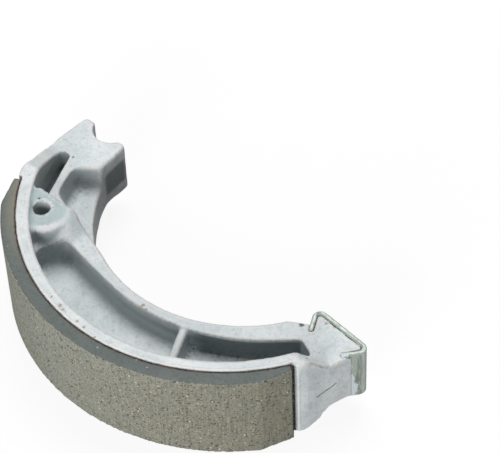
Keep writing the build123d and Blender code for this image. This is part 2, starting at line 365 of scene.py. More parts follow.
def rampNode(tree, source, low, high, smooth=True):
    # from 0 at low to 1 at high, also where high is the smaller number
    node = tree.nodes.new("ShaderNodeMapRange")
    node.interpolation_type = "SMOOTHSTEP" if smooth else "LINEAR"
    node.inputs["From Min"].default_value = low
    node.inputs["From Max"].default_value = high
    tree.links.new(source, node.inputs["Value"])
    return node.outputs["Result"]


def mixColour(tree, share, first, second):
    node = tree.nodes.new("ShaderNodeMix")
    node.data_type = "RGBA"
    sockets = [s for s in node.inputs if s.enabled]
    for socket, value in zip(sockets, (share, first, second)):
        if isinstance(value, (int, float)):
            socket.default_value = value
        elif isinstance(value, tuple):
            socket.default_value = (*value, 1.0)[:4]
        else:
            tree.links.new(value, socket)
    return [s for s in node.outputs if s.enabled][0]


def painted(tree, colour, mask, share, target):
    # lays the target colour over another one, as far as the mask and the share say
    return mixColour(tree, mathNode(tree, "MULTIPLY", mask, share), colour, target)


def shaded(colour, factor):
    return tuple(c * factor for c in colour)


def toned(tree, colour, noises, tones, base):
    # each tone lays a darker or lighter shade of the base colour where one noise runs from low to high
    for name, low, high, share, factor in tones:
        mask = rampNode(tree, noises[name], low, high)
        colour = painted(tree, colour, mask, share, shaded(base, factor))
    return colour


def swing(tree, noise, reach, middle=0.5):
    # a noise set about zero and given a length
    return mathNode(tree, "MULTIPLY", mathNode(tree, "SUBTRACT", noise, middle), reach)


def bumpNode(tree, height, strength, distance):
    node = tree.nodes.new("ShaderNodeBump")
    node.inputs["Strength"].default_value = strength
    node.inputs["Distance"].default_value = distance
    tree.links.new(height, node.inputs["Height"])
    return node.outputs[0]


def vectorMath(tree, operation, a, b=None):
    node = tree.nodes.new("ShaderNodeVectorMath")
    node.operation = operation
    for socket, value in zip(node.inputs, (a, b)):
        if value is None:
            continue
        if isinstance(value, tuple):
            socket.default_value = value
        else:
            tree.links.new(value, socket)
    return node


def scaledPoint(tree, at, scale):
    node = tree.nodes.new("ShaderNodeMapping")
    node.inputs["Scale"].default_value = scale
    tree.links.new(at, node.inputs["Vector"])
    return node.outputs[0]


def splitPoint(tree, at):
    parts = tree.nodes.new("ShaderNodeSeparateXYZ")
    tree.links.new(at, parts.inputs[0])
    return parts.outputs


def flatPoint(tree, at):
    return vectorMath(tree, "MULTIPLY", at, (1.0, 1.0, 0.0)).outputs["Vector"]


def radiusNode(tree, at):
    return vectorMath(tree, "LENGTH", flatPoint(tree, at)).outputs["Value"]


def heightFromMiddle(tree, at, width):
    height = splitPoint(tree, at)[2]
    return mathNode(tree, "ABSOLUTE", mathNode(tree, "SUBTRACT", height, width / 2 * mm))


def objectPoint(tree):
    return tree.nodes.new("ShaderNodeTexCoord").outputs["Object"]


def attribute(tree, name):
    node = tree.nodes.new("ShaderNodeAttribute")
    node.attribute_name = name
    return node.outputs["Fac"]


marks = {
    "speckBlur": 0.12,               # share of a cell
    "fray": (1900, 3, 0.7),          # noise that frays the rim of a spot
    "frayReach": 1.8,                # shares of the spot's radius
    "rim": (1.1, 0.5),
}


def speckGroup():
    # round grains scattered in space: one in each cell of a pattern, kept where the cell's own random number
    # is low
    group, given, made = startGroup("specks", ["Vector"], ["Scale", "Share", "Size"])
    cells = group.nodes.new("ShaderNodeTexVoronoi")
    group.links.new(given.outputs["Vector"], cells.inputs["Vector"])
    group.links.new(given.outputs["Scale"], cells.inputs["Scale"])
    split = group.nodes.new("ShaderNodeSeparateColor")
    group.links.new(cells.outputs["Color"], split.inputs[0])
    chosen = mathNode(group, "LESS_THAN", split.outputs[0], given.outputs["Share"])
    own = mathNode(group, "MULTIPLY", split.outputs[1], given.outputs["Size"])
    inside = mathNode(group, "SUBTRACT", own, cells.outputs["Distance"])
    grain = rampNode(group, inside, 0.0, marks["speckBlur"])
    group.links.new(mathNode(group, "MULTIPLY", chosen, grain), made.inputs["Mask"])
    return group


def spotGroup():
    # round mark with a frayed rim: distance from a centre, disturbed by noise, set against a radius
    group, given, made = startGroup("spot", ["Vector", "Centre"], ["Radius"])
    away = vectorMath(group, "DISTANCE", given.outputs["Vector"], given.outputs["Centre"]).outputs["Value"]
    relative = mathNode(group, "DIVIDE", away, given.outputs["Radius"])
    fray = noiseNode(group, *marks["fray"], given.outputs["Vector"])
    frayed = mathNode(group, "ADD", relative, swing(group, fray, marks["frayReach"]))
    group.links.new(rampNode(group, frayed, *marks["rim"]), made.inputs["Mask"])
    return group


specks = speckGroup()
spot = spotGroup()


def marksMask(tree, at, places):
    return strongest(tree, [
        useGroup(tree, spot, Vector=at, Centre=(x * mm, y * mm, z * mm), Radius=radius * mm)
        for x, y, z, radius in places
    ])


casting = {
    "voxel": 0.46,             # mm, mesh pitch of the rounded casting
    "smoothing": 4,
    "width": 28.0,
    "rimRadius": 56.0,
    "bodyTop": 22.2,
    "swell": {"depth": (0.033, 0.0275), "length": 7, "seed": 3},  # mm: how far the skin sinks, and its waves
    "corners": {"passes": 6, "from": (0.05, 0.16), "spread": 5, "steps": 16},    # filled inner corners
    "rimSharpness": 0.20,      # mm
    # the web's top climbs to the boss: plan angles where that starts, is full, ends and is over, in degrees,
    # then mm from the hole, heights over the middle, how near the hole and below the web it acts, and how far
    # within and past the reach it is smoothed
    "saddle": {"hole": (32.8, -36.8), "directions": (52, 100, 132, 148), "reach": (6.4, 13.5),
               "heights": (8.2, 13.0), "clearance": (3.4, 4.6), "below": (1.2, 0.3), "border": (1.5, 1),
               "steps": 14},
    # middle, reach and passes of the places where the edges are softest
    "softPlaces": ((10.0, -38.2, 8.0, 22), (22.5, -36.5, 6.0, 10), (36.0, -26.5, 5.0, 4)),
    "lipCorner": {"at": (27.2, 50.2), "reach": (4.6, 1.61), "steps": 30},
    "maskPasses": {"edge": 3, "hollow": 14, "recessShade": 70},

    # where shade is painted in, and where painted light takes some of it away: places and ranges in mm, depth
    # below the web's top, shade in mm of recess
    "slot": {"from": (9.9, -50.0), "to": (25.0, -44.0), "aside": (4.2, 2.6), "depth": (0.8, 7.5),
             "shade": 3.1},
    "forkWall": {"at": (2.6, -37.2), "reach": (9.0, 4.5), "depth": (1.5, 6.0), "upright": (0.5, 0.9),
                 "shade": 3.2},
    "pockets": {"radius": (54, 53), "beyond": (14, 20), "camEnd": (12, 22)},
    "camPocket": {"outward": (0.2, 0.6), "depth": (0.2, 1.2), "shade": 2.5},
    "longPocket": {"outward": (0.02, 0.25), "pivotEnd": (-28, -20), "depth": (3.0, 6.0), "litWall": 0.8},
    "bossTop": {"across": (7.6, 6.2), "level": (0.9, 0.4)},
    "walls": {"inside": (2.4, 3.4), "upright": (0.30, 0.80)},
    "seat": {"at": (-2.83, -46.26), "reach": (6.0, 7.5)},            # the anchor seat is bright

    "noises": {"cloud": (75, 4, 0.6), "mottle": (420, 4, 0.65), "fine": (1000, 3, 0.65),
               "grain": (2500, 2, 0.6)},
    # noise, range, share and shade of the main colour
    "tones": (
        ("mottle", 0.48, 0.70, 0.34, 0.66), ("fine", 0.52, 0.72, 0.40, 0.60),
        ("grain", 0.46, 0.30, 0.55, 1.22),
    ),
    # mm that the skin stands out or lies back, for a full mask
    "masks": {"edge": (0.010, 0.055), "hollow": (0.06, 0.40), "recessShade": (1.3, 3.0)},
    # ranges of the noises that break a mask up
    "breaks": {"cloud": (0.38, 0.66), "wall": (-0.15, 0.50), "hollowSpecks": (0.42, 0.66), "rubAndHighlight": (0.36, 0.60)},
    "hollowSpecks": {"along": (6, 20), "shares": (0.36, 0.40)},      # mm along Y, where it grows towards the cam
    "bondAngle": 59.0,         # degrees from X, as far as the bond reaches
    "bondBlur": 0.004,         # of that angle's cosine
    "bondRange": (-0.08, 0.06),      # mm over the rim's radius
    "bondFray": 1.5,           # mm
    "shares": {"boss": 0.70, "wall": 0.52, "recessShade": 0.90, "litWall": 0.65, "rubAndHighlight": 0.60, "bond": 0.85,
               "rust": 0.62, "pit": 0.85},
    "metallic": 0.10,
    "specular": 0.35,
    "roughness": (-0.6, 1.1),
    # weights of what makes up the relief, and its depth in mm
    "relief": {"grain": 0.40, "mottle": 1.2, "pit": 4.0, "rubAndHighlight": 2.0, "strength": 0.6, "depth": 0.15},

    "colour": (0.585, 0.635, 0.645),
    "paleColour": (0.70, 0.735, 0.74),
    "bossColour": (0.310, 0.400, 0.415),
    "litWallColour": (0.66, 0.71, 0.72),
    "wallShadeColour": (0.235, 0.272, 0.275),
    "darkColour": (0.085, 0.105, 0.11),
    "bondColour": (0.060, 0.035, 0.022),
    "edgeRubAndHighlightColour": (0.80, 0.765, 0.745),
    "rustColour": (0.27, 0.125, 0.075),
    "pitShadeColour": (0.045, 0.05, 0.05),

    # centres and radii in mm
    "rustSpots": (
        (53.61, -8.94, 28.0, 0.60), (54.10, -7.40, 28.0, 0.46), (54.49, -2.02, 28.0, 0.55),
        (54.71, 0.67, 28.0, 0.48), (53.0, -12.5, 28.0, 0.45), (55.3, 5.0, 28.0, 0.40),
        (36.68, 3.34, 22.2, 0.65), (37.30, 4.90, 22.2, 0.50), (10.70, 42.60, 22.1, 0.55),
        (10.00, 44.90, 22.1, 0.50), (23.36, -50.24, 24.0, 0.26), (20.65, -42.01, 22.2, 0.26),
    ),
    "pits": (
        (15.05, 38.15, 22.0, 0.75), (-1.26, -51.30, 22.2, 0.34), (11.74, -46.74, 22.2, 0.30),
        (19.47, -35.97, 14.6, 0.42), (31.04, -39.50, 27.0, 0.40), (36.03, 18.69, 15.0, 0.45),
        (24.92, 48.66, 26.6, 0.34),
    ),
    "slit": {"from": (24.0, 51.35, 12.4), "to": (18.9, 52.98, 14.4), "width": 0.30, "fray": 0.5,
             "noise": (1500, 2, 0.6)},
}


def bossSaddle(points, edges):
    # the web's top climbs to the boss: height falls from the boss to the web with distance from the hole,
    # in the directions of the web only, on both faces
    saddle = casting["saddle"]
    place = points / mm
    away = place[:, :2] - saddle["hole"]
    distance = np.hypot(away[:, 0], away[:, 1])
    direction = np.degrees(np.arctan2(away[:, 1], away[:, 0])) % 360
    start, full, stay, end = saddle["directions"]
    share = smoothStep(start, full, direction) * (1 - smoothStep(stay, end, direction))
    middle = casting["width"] / 2
    height = np.abs(place[:, 2] - middle)
    near, far = saddle["reach"]
    low, high = saddle["heights"]
    wanted = high - (high - low) * smoothStep(near, far, distance)
    lowest, full = (low - gap for gap in saddle["below"])
    share = share * smoothStep(lowest, full, height) * smoothStep(*saddle["clearance"], distance)
    within, past = saddle["border"]
    share = share * (distance < far + past)
    lifted = np.maximum(height, height + (wanted - height) * share)
    place[:, 2] = middle + np.sign(place[:, 2] - middle) * lifted
    around = share * smoothStep(near - within, near, distance)
    return relaxed(place * mm, edges, around, saddle["steps"])


def castingForm(mesh, edges):
    # filled corners, the saddle, soft places, worn lip, uneven skin and a crisp rim, in that order
    points = arrayOf(mesh, "co", 3).astype(float)
    normals = arrayOf(mesh, "normal", 3)
    corners = casting["corners"]
    corner = smoothStep(*corners["from"], -bulge(points, normals, edges, corners["passes"]))[:, None]
    for step in range(corners["spread"]):
        corner = np.maximum(corner, neighbourMean(corner, edges))
    points = relaxed(points, edges, corner[:, 0], corners["steps"])
    points = bossSaddle(points, edges)
    for x, y, reach, steps in casting["softPlaces"]:
        share = smoothStep(reach, reach * 0.5, awayFrom(points, (x, y)))
        points = relaxed(points, edges, share, steps)
    # both corners of the lip are worn round
    lip = casting["lipCorner"]
    half = casting["width"] / 2
    above = np.abs(points[:, 2] / mm - half) - half
    away = np.hypot(awayFrom(points, lip["at"]), above)
    points = relaxed(points, edges, smoothStep(*lip["reach"], away), lip["steps"])
    swell = casting["swell"]
    sink, wave = swell["depth"]
    points -= normals * ((sink + wave * waves(points, swell["length"], swell["seed"])) * mm)[:, None]
    return sharpened(points, casting["rimRadius"] * mm, half * mm, 1, casting["rimSharpness"] * mm)


def castingMasks(mesh, points, edges):
    # edge and hollow say how far the skin stands out or lies back; then come the painted shade in hollows, the
    # slot, by the fork's wall and beside the cam, the painted light that lightens the long pocket's low wall
    # and takes some painted shade away, which faces of the boss's top are dull, and the painted shade on steep
    # walls
    normals = arrayOf(mesh, "normal", 3)
    place = points / mm
    half = casting["width"] / 2
    level = np.abs(place[:, 2] - half)
    depth = casting["bodyTop"] - half - level
    upright = 1 - np.abs(normals[:, 2])
    radius = np.hypot(place[:, 0], place[:, 1])
    outward = (normals[:, 0] * place[:, 0] + normals[:, 1] * place[:, 1]) / radius

    # painted shade along the slot, growing with depth below the web's top
    slot = casting["slot"]
    start, run = np.array([slot["from"]]), np.array([slot["to"]]) - [slot["from"]]
    slotShade = slot["shade"] * smoothStep(*slot["aside"], awayFromLine(place[:, :2], start, run))
    slotShade *= smoothStep(*slot["depth"], depth)

    # painted shade by the fork's wall, on upright faces below the web's top
    fork = casting["forkWall"]
    forkShade = fork["shade"] * smoothStep(*fork["reach"], awayFrom(points, fork["at"]))
    forkShade *= smoothStep(*fork["depth"], depth) * smoothStep(*fork["upright"], upright)

    # pocket walls that face outwards from the drum's axis: painted shade beside the cam, painted light low in
    # the long pocket
    pockets, camPocket, longPocket = casting["pockets"], casting["camPocket"], casting["longPocket"]
    inPocket = smoothStep(*pockets["radius"], radius) * smoothStep(*pockets["beyond"], place[:, 0])
    camEnd = smoothStep(*pockets["camEnd"], place[:, 1])
    pocketShade = camPocket["shade"] * smoothStep(*camPocket["outward"], outward) * inPocket * camEnd
    pocketShade *= smoothStep(*camPocket["depth"], depth)
    litWall = smoothStep(*longPocket["outward"], outward) * inPocket * (1 - camEnd)
    litWall *= smoothStep(*longPocket["pivotEnd"], place[:, 1]) * smoothStep(*longPocket["depth"], depth)
    # less painted shade is kept where that painted light lies
    shadeKept = 1 - longPocket["litWall"] * litWall

    # painted shade where the skin lies back, and the strongest of the painted shades of the slot, the fork's
    # wall and the cam pocket
    passes = casting["maskPasses"]
    shade = np.maximum(-bulge(points, normals, edges, passes["recessShade"]), pocketShade)
    shade = np.maximum(shade, np.maximum(slotShade, forkShade))

    top = casting["bossTop"]
    boss = smoothStep(*top["across"], awayFrom(points, casting["saddle"]["hole"]))
    boss *= smoothStep(*top["level"], np.abs(level - casting["saddle"]["heights"][1]))

    # walls inside the rim get painted shade, most where they stand upright, except at the anchor seat
    walls, seat = casting["walls"], casting["seat"]
    outer, inner = (casting["rimRadius"] - gap for gap in walls["inside"])
    wallShade = smoothStep(outer, inner, radius) * smoothStep(*seat["reach"], awayFrom(points, seat["at"]))
    wallShade = wallShade * smoothStep(*walls["upright"], upright)

    setAttribute(mesh, "edge", bulge(points, normals, edges, passes["edge"]))
    setAttribute(mesh, "hollow", -bulge(points, normals, edges, passes["hollow"]))
    setAttribute(mesh, "litWall", litWall)
    setAttribute(mesh, "recessShade", shade * shadeKept)
    setAttribute(mesh, "bossTop", boss)
    setAttribute(mesh, "wallShade", wallShade * shadeKept)


def castingShape():
    item = roundedCopy("shoe_casting", "castShoe", casting)
    edges = arrayOf(item.data, "vertices", 2, np.int32)
    points = castingForm(item.data, edges)
    placePoints(item.data, points)
    castingMasks(item.data, points, edges)
    return item


def slitMask(tree, at):
    # distance from the nearest point of a straight segment, set against half its width
    slit = casting["slit"]
    start = Vector(slit["from"]) * mm
    run = (Vector(slit["to"]) - Vector(slit["from"])) * mm
    away = vectorMath(tree, "SUBTRACT", at, tuple(start)).outputs["Vector"]
    share = vectorMath(tree, "DOT_PRODUCT", away, tuple(run / run.length_squared)).outputs["Value"]
    share = mathNode(tree, "MULTIPLY", share, 1.0, True)
    reach = tree.nodes.new("ShaderNodeVectorMath")
    reach.operation = "SCALE"
    reach.inputs[0].default_value = tuple(run)
    tree.links.new(share, reach.inputs["Scale"])
    gap = vectorMath(tree, "DISTANCE", away, reach.outputs[0]).outputs["Value"]
    gap = mathNode(tree, "ADD", gap, swing(tree, noiseNode(tree, *slit["noise"], at), slit["fray"] * mm))
    return rampNode(tree, gap, slit["width"] * mm, 0.0)


def bondMask(tree, at, fine):
    # brown bond squeezed out along the rim, frayed by noise, as far round as the lining goes
    radius = radiusNode(tree, at)
    near = mathNode(tree, "ADD", radius, swing(tree, fine, casting["bondFray"] * mm))
    low, high = ((casting["rimRadius"] + gap) * mm for gap in casting["bondRange"])
    cosine = mathNode(tree, "DIVIDE", splitPoint(tree, at)[0], radius)
    endCosine = math.cos(math.radians(casting["bondAngle"]))
    return mathNode(tree, "MULTIPLY", rampNode(tree, near, low, high),
                    rampNode(tree, cosine, endCosine, endCosine + casting["bondBlur"]))


def castingMaterial():
    material, tree, shader = startMaterial("shotBlastedCasting")
    at = objectPoint(tree)
    noises = noiseSet(tree, at, casting["noises"])
    fine, mottle = noises["fine"], noises["mottle"]
    shares, breaks, relief = casting["shares"], casting["breaks"], casting["relief"]
    raised, hollow, recessShade = (rampNode(tree, attribute(tree, name), *casting["masks"][name])
                              for name in ("edge", "hollow", "recessShade"))
    cloudy = rampNode(tree, noises["cloud"], *breaks["cloud"])
    colour = mixColour(tree, cloudy, casting["colour"], casting["paleColour"])
    colour = toned(tree, colour, noises, casting["tones"], casting["colour"])
    colour = painted(tree, colour, attribute(tree, "bossTop"), shares["boss"], casting["bossColour"])
    # painted shade on the steep walls inside the rim, broken up by the mottle
    wall = mathNode(tree, "MULTIPLY", attribute(tree, "wallShade"), rampNode(tree, mottle, *breaks["wall"]))
    colour = painted(tree, colour, wall, shares["wall"], casting["wallShadeColour"])
    # painted shade in hollows, the slot, by the fork's wall and beside the cam
    colour = painted(tree, colour, recessShade, shares["recessShade"], casting["darkColour"])
    # dark specks in the hollows, more of them in the pocket beside the cam
    hollowSpecks = mathNode(tree, "MULTIPLY", hollow, rampNode(tree, fine, *breaks["hollowSpecks"]))
    start, end = (place * mm for place in casting["hollowSpecks"]["along"])
    camSide = rampNode(tree, splitPoint(tree, at)[1], start, end)
    least, more = casting["hollowSpecks"]["shares"]
    hollowSpeckShare = mathNode(tree, "ADD", mathNode(tree, "MULTIPLY", camSide, more), least)
    colour = painted(tree, colour, hollowSpecks, hollowSpeckShare, casting["darkColour"])
    # painted light on the long pocket's low outward wall
    colour = painted(tree, colour, attribute(tree, "litWall"), shares["litWall"], casting["litWallColour"])
    # edges rubbed bright, with painted highlight
    rubAndHighlight = mathNode(tree, "MULTIPLY", raised, rampNode(tree, fine, *breaks["rubAndHighlight"]))
    colour = painted(tree, colour, rubAndHighlight, shares["rubAndHighlight"], casting["edgeRubAndHighlightColour"])
    colour = painted(tree, colour, bondMask(tree, at, fine), shares["bond"], casting["bondColour"])
    rust = marksMask(tree, at, casting["rustSpots"])
    colour = painted(tree, colour, rust, shares["rust"], casting["rustColour"])
    # painted shade inside the pits and along the slit
    pitted = strongest(tree, [marksMask(tree, at, casting["pits"]), slitMask(tree, at)])
    colour = painted(tree, colour, pitted, shares["pit"], casting["pitShadeColour"])
    tree.links.new(colour, shader.inputs["Base Color"])
    shader.inputs["Metallic"].default_value = casting["metallic"]
    shader.inputs["Specular IOR Level"].default_value = casting["specular"]
    tree.links.new(rampNode(tree, fine, *casting["roughness"], False), shader.inputs["Roughness"])
    height = mathNode(tree, "ADD", mathNode(tree, "MULTIPLY", noises["grain"], relief["grain"]), fine)
    height = mathNode(tree, "ADD", height, mathNode(tree, "MULTIPLY", mottle, relief["mottle"]))
    height = mathNode(tree, "SUBTRACT", height, mathNode(tree, "MULTIPLY", pitted, relief["pit"]))
    rubbed = mathNode(tree, "MULTIPLY", raised, fine)
    height = mathNode(tree, "ADD", height, mathNode(tree, "MULTIPLY", rubbed, relief["rubAndHighlight"]))
    tree.links.new(bumpNode(tree, height, relief["strength"], relief["depth"] * mm), shader.inputs["Normal"])
    return material


finishPiece(castingShape(), castingMaterial(), "shoe_casting")


lining = {
    "voxel": 0.36,               # mm, mesh pitch of the rounded lining
    "smoothing": 3,
    "innerRadius": 56.2,
    "width": 28.0,
    "endAngle": 58.0,            # degrees from X to the ends
    "crumble": {"depth": 0.05, "edge": (0.01, 0.10), "passes": 3, "waves": 24},      # mm, the crumbled edges
    "crumbs": ((1.6, 7, 1.0), (0.9, 8, 0.5)),        # wave length in mm, seed and share
    "innerSharpness": 0.14,      # mm

    "noises": {"broad": (90, 3, 0.6), "fine": (1300, 3, 0.65), "dust": (2700, 3, 0.75)},
    "sanding": {"squash": (1, 1, 0.05), "noise": (2400, 3, 0.65), "range": (0.48, 0.62),
                "shares": (0.14, 0.36), "shade": 0.45},
    "warm": {"shift": (0.31, 0.17, 0.05), "noise": (1500, 3, 0.7), "range": (0.50, 0.64), "share": 0.50},
    # noise, range, share and shade of the face's or the side's colour
    "faceTones": (
        ("broad", 0.35, 0.68, 0.50, 0.80), ("fine", 0.48, 0.66, 0.42, 0.40), ("fine", 0.46, 0.30, 0.38, 1.6),
        ("dust", 0.50, 0.66, 0.60, 0.38), ("dust", 0.46, 0.30, 0.60, 1.9),
    ),
    "sideTones": (("fine", 0.45, 0.70, 0.45, 0.55), ("dust", 0.46, 0.28, 0.40, 1.7)),
    # scale, share of the cells and size of the scattered grains
    "grains": {
        "dark": ((1150.0, 0.12, 0.52), (2300.0, 0.22, 0.75)),
        "tan": ((1700.0, 0.15, 0.66),),
        "brown": ((1200.0, 0.085, 0.56),),
        "white": ((1400.0, 0.060, 0.48),),
    },
    # grain, share and colour, from the lowest layer to the highest
    "faceGrains": (
        ("dark", 0.85, (0.045, 0.045, 0.038)), ("tan", 0.55, (0.46, 0.41, 0.29)),
        ("brown", 0.70, (0.135, 0.088, 0.045)), ("white", 0.85, (0.66, 0.67, 0.64)),
    ),
    "sideGrains": (("white", 0.60, (0.42, 0.45, 0.44)), ("brown", 0.60, (0.14, 0.08, 0.045))),
    "side": {"in": (0.30, 0.16), "fray": 0.5, "range": (0.3, 0.75), "shade": 1.28},    # mm in from the side
    "towardsCam": (-10, 45),     # mm along Y
    "pivotEnd": {"along": (-22, -44), "radius": (61.0, 57.4), "fray": 2, "share": 0.75},     # mm, the tan part
    "seam": {"over": (0.16, 0.04), "fray": -1.2, "share": 0.75},     # mm over the inner radius
    "ends": {"in": 0.25, "blur": 0.003, "range": (0.4, 0.6)},    # degrees in from the end, blur of the cosine
    "roughness": (0.88, 0.2),    # of the face, and how much less on the side
    # weights of what makes up the relief, and its depth in mm
    "relief": {"dark": 0.6, "side": 0.6, "ends": 2.5, "strength": 0.6, "depth": 0.14},

    "faceColour": (0.288, 0.300, 0.258),
    "brownColour": (0.262, 0.256, 0.196),
    "warmColour": (0.350, 0.295, 0.185),
    "sideColour": (0.103, 0.121, 0.113),
    "tanColour": (0.230, 0.215, 0.165),
    "seamColour": (0.075, 0.040, 0.022),
    "endColour": (0.105, 0.075, 0.045),
    "endDarkColour": (0.02, 0.018, 0.014),
}


def liningShape():
    item = roundedCopy("friction_lining", "liningPad", lining)
    mesh = item.data
    edges = arrayOf(mesh, "vertices", 2, np.int32)
    points = arrayOf(mesh, "co", 3).astype(float)
    normals = arrayOf(mesh, "normal", 3)
    crumble = lining["crumble"]
    border = smoothStep(*crumble["edge"], bulge(points, normals, edges, crumble["passes"]))
    crumbs = sum(share * waves(points, length, seed, crumble["waves"])
                 for length, seed, share in lining["crumbs"])
    points -= normals * (crumble["depth"] * mm * border * np.clip(crumbs, 0, 2))[:, None]
    half = lining["width"] / 2 * mm
    placePoints(mesh, sharpened(points, lining["innerRadius"] * mm, half, -1, lining["innerSharpness"] * mm))
    return item


def liningFace(tree, at, noises, grains, towardsCam):
    # ground face: brown towards the cam, mottled, with warm patches, sanding lines along the width and grains
    face = mixColour(tree, towardsCam, lining["faceColour"], lining["brownColour"])
    face = toned(tree, face, noises, lining["faceTones"], lining["faceColour"])
    warm, sanding = lining["warm"], lining["sanding"]
    shifted = vectorMath(tree, "ADD", at, warm["shift"]).outputs["Vector"]
    patches = rampNode(tree, noiseNode(tree, *warm["noise"], shifted), *warm["range"])
    face = painted(tree, face, patches, warm["share"], lining["warmColour"])
    lines = noiseNode(tree, *sanding["noise"], scaledPoint(tree, at, sanding["squash"]))
    least, more = sanding["shares"]
    lineShare = mathNode(tree, "ADD", least, mathNode(tree, "MULTIPLY", towardsCam, more))
    lines = rampNode(tree, lines, *sanding["range"])
    face = painted(tree, face, lines, lineShare, shaded(lining["faceColour"], sanding["shade"]))
    for name, share, colour in lining["faceGrains"]:
        face = painted(tree, face, grains[name], share, colour)
    return face


def liningSide(tree, along, radius, noises, grains):
    # moulded side: slate grey, tan towards the pivot end and near the rim
    pale = shaded(lining["sideColour"], lining["side"]["shade"])
    cloudy = rampNode(tree, noises["broad"], *lining["side"]["range"])
    side = mixColour(tree, cloudy, lining["sideColour"], pale)
    side = toned(tree, side, noises, lining["sideTones"], lining["sideColour"])
    pivotEnd = lining["pivotEnd"]
    start, end = (place * mm for place in pivotEnd["along"])
    outer, inner = (place * mm for place in pivotEnd["radius"])
    border = mathNode(tree, "ADD", radius, mathNode(tree, "MULTIPLY", noises["broad"], pivotEnd["fray"] * mm))
    tan = mathNode(tree, "MULTIPLY", rampNode(tree, along, start, end), rampNode(tree, border, outer, inner))
    side = painted(tree, side, tan, pivotEnd["share"], lining["tanColour"])
    for name, share, colour in lining["sideGrains"]:
        side = painted(tree, side, grains[name], share, colour)
    return side


def liningMaterial():
    material, tree, shader = startMaterial("frictionComposite")
    at = objectPoint(tree)
    across, along = splitPoint(tree, at)[:2]
    radius = radiusNode(tree, at)
    seam, end, relief = lining["seam"], lining["ends"], lining["relief"]
    noises = noiseSet(tree, at, lining["noises"])
    fine = noises["fine"]
    grains = {
        name: strongest(tree, [useGroup(tree, specks, Vector=at, Scale=scale, Share=share, Size=size)
                               for scale, share, size in kinds])
        for name, kinds in lining["grains"].items()
    }
    sideFray = swing(tree, fine, lining["side"]["fray"] * mm)
    height = mathNode(tree, "ADD", heightFromMiddle(tree, at, lining["width"]), sideFray)
    inner, outer = ((lining["width"] / 2 - gap) * mm for gap in lining["side"]["in"])
    side = rampNode(tree, height, inner, outer)
    # cosine of the angle from X, low at both ends
    cosine = mathNode(tree, "DIVIDE", across, radius)
    endCosine = math.cos(math.radians(lining["endAngle"] - end["in"]))
    ends = rampNode(tree, cosine, endCosine + end["blur"], endCosine)
    towardsCam = rampNode(tree, along, *(place * mm for place in lining["towardsCam"]))
    colour = mixColour(tree, side, liningFace(tree, at, noises, grains, towardsCam),
                       liningSide(tree, along, radius, noises, grains))
    # bond smeared over the edge next to the rim
    border = mathNode(tree, "ADD", radius, swing(tree, fine, seam["fray"] * mm))
    outer, inner = ((lining["innerRadius"] + gap) * mm for gap in seam["over"])
    colour = painted(tree, colour, rampNode(tree, border, outer, inner), seam["share"], lining["seamColour"])
    patches = rampNode(tree, fine, *end["range"])
    endFace = mixColour(tree, patches, lining["endColour"], lining["endDarkColour"])
    colour = mixColour(tree, ends, colour, endFace)
    tree.links.new(colour, shader.inputs["Base Color"])
    faceRough, lessRough = lining["roughness"]
    rough = mathNode(tree, "SUBTRACT", faceRough, mathNode(tree, "MULTIPLY", side, lessRough))
    tree.links.new(rough, shader.inputs["Roughness"])
    # relief is weaker on the side and stronger on the ends
    weight = mathNode(tree, "SUBTRACT", 1.0, mathNode(tree, "MULTIPLY", side, relief["side"]))
    weight = mathNode(tree, "ADD", weight, mathNode(tree, "MULTIPLY", ends, relief["ends"]))
    height = mathNode(tree, "SUBTRACT", fine, mathNode(tree, "MULTIPLY", grains["dark"], relief["dark"]))
    height = mathNode(tree, "MULTIPLY", height, weight)
    tree.links.new(bumpNode(tree, height, relief["strength"], relief["depth"] * mm), shader.inputs["Normal"])
    return material


finishPiece(liningShape(), liningMaterial(), "friction_lining")


bond = {
    "patches": (700, 4, 0.7),
    "range": (0.42, 0.56),
    "colour": (0.13, 0.068, 0.042),
    "darkColour": (0.022, 0.016, 0.012),
    "roughness": 0.7,
    "relief": {"strength": 0.5, "depth": 0.1},       # mm
}


def bondMaterial():
    material, tree, shader = startMaterial("curedBond")
    patch = noiseNode(tree, *bond["patches"], objectPoint(tree))
    colour = mixColour(tree, rampNode(tree, patch, *bond["range"]), bond["colour"], bond["darkColour"])
    tree.links.new(colour, shader.inputs["Base Color"])
    shader.inputs["Roughness"].default_value = bond["roughness"]
    relief = bond["relief"]
    tree.links.new(bumpNode(tree, patch, relief["strength"], relief["depth"] * mm), shader.inputs["Normal"])
    return material


# the bond's own solid is right as it is, and only gets its material
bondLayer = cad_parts["bond_layer"]
bondLayer.data.materials.clear()
bondLayer.data.materials.append(bondMaterial())


